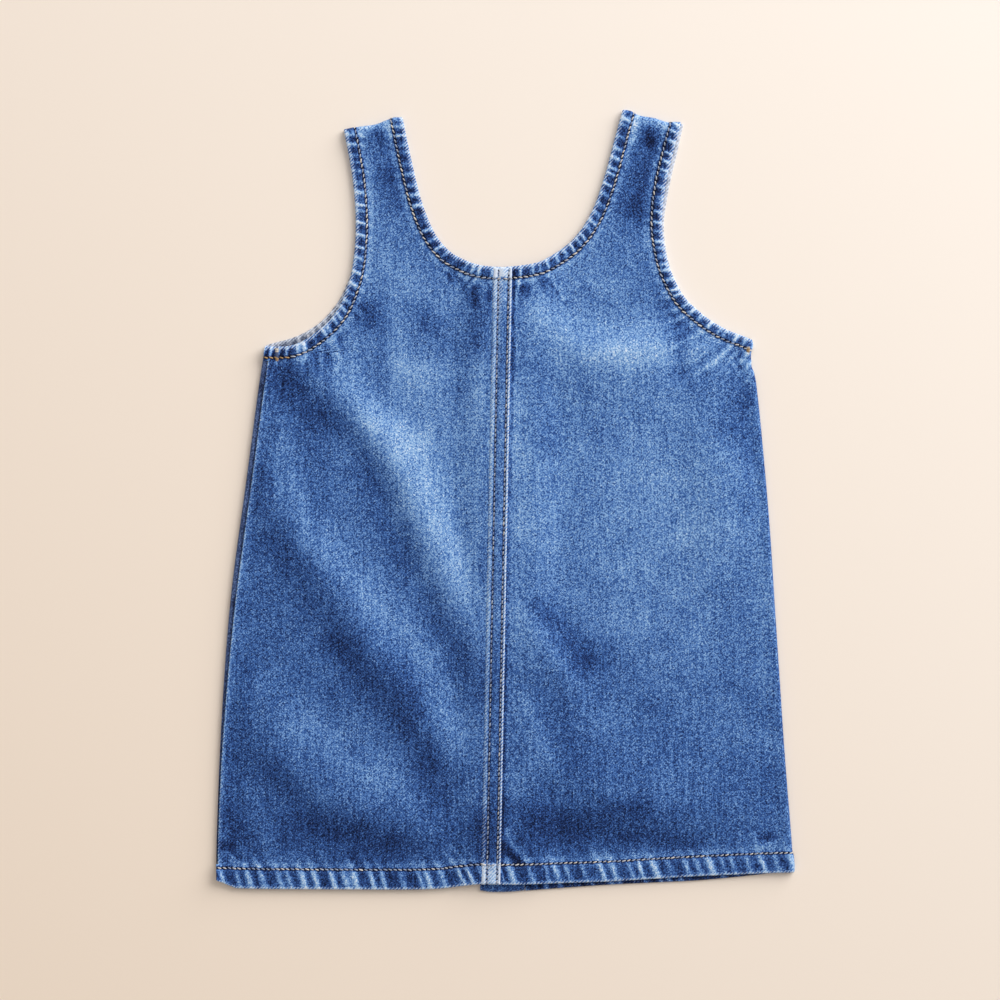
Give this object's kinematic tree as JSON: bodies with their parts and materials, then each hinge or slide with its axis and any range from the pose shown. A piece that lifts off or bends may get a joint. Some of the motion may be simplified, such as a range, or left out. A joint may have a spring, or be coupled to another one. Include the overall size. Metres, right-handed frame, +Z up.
{
  "type": "pinafore dress",
  "caption": "Sleeveless A-line denim pinafore laid flat with its back uppermost, with a scoop neck, wide straps, a felled centre back seam and a buttoned front underneath.",
  "frame": {"origin": "under the middle of the flat dress, on the surface it lies on", "axes": "+Z up out of the back, +Y from the hem to the shoulders, +X to the wearer's right as seen from above the back"},
  "size_m": [0.371, 0.5022, 0.0078],
  "materials": {
    "denim": "washed indigo denim, 3/1 twill with a soft matt nap and abraded hems",
    "thread": "golden tan topstitching thread, faded, with a slight sheen",
    "button": "dull aged metal"
  },
  "bodies": {
    "root": {"back_left": "denim", "back_right": "denim", "back_seam": "denim", "front_left": "denim", "front_right": "denim", "placket_over": "denim", "placket_under": "denim", "button_1": "button", "button_2": "button", "button_3": "button", "button_4": "button", "button_5": "button", "button_6": "button"}
  },
  "joints": []
}
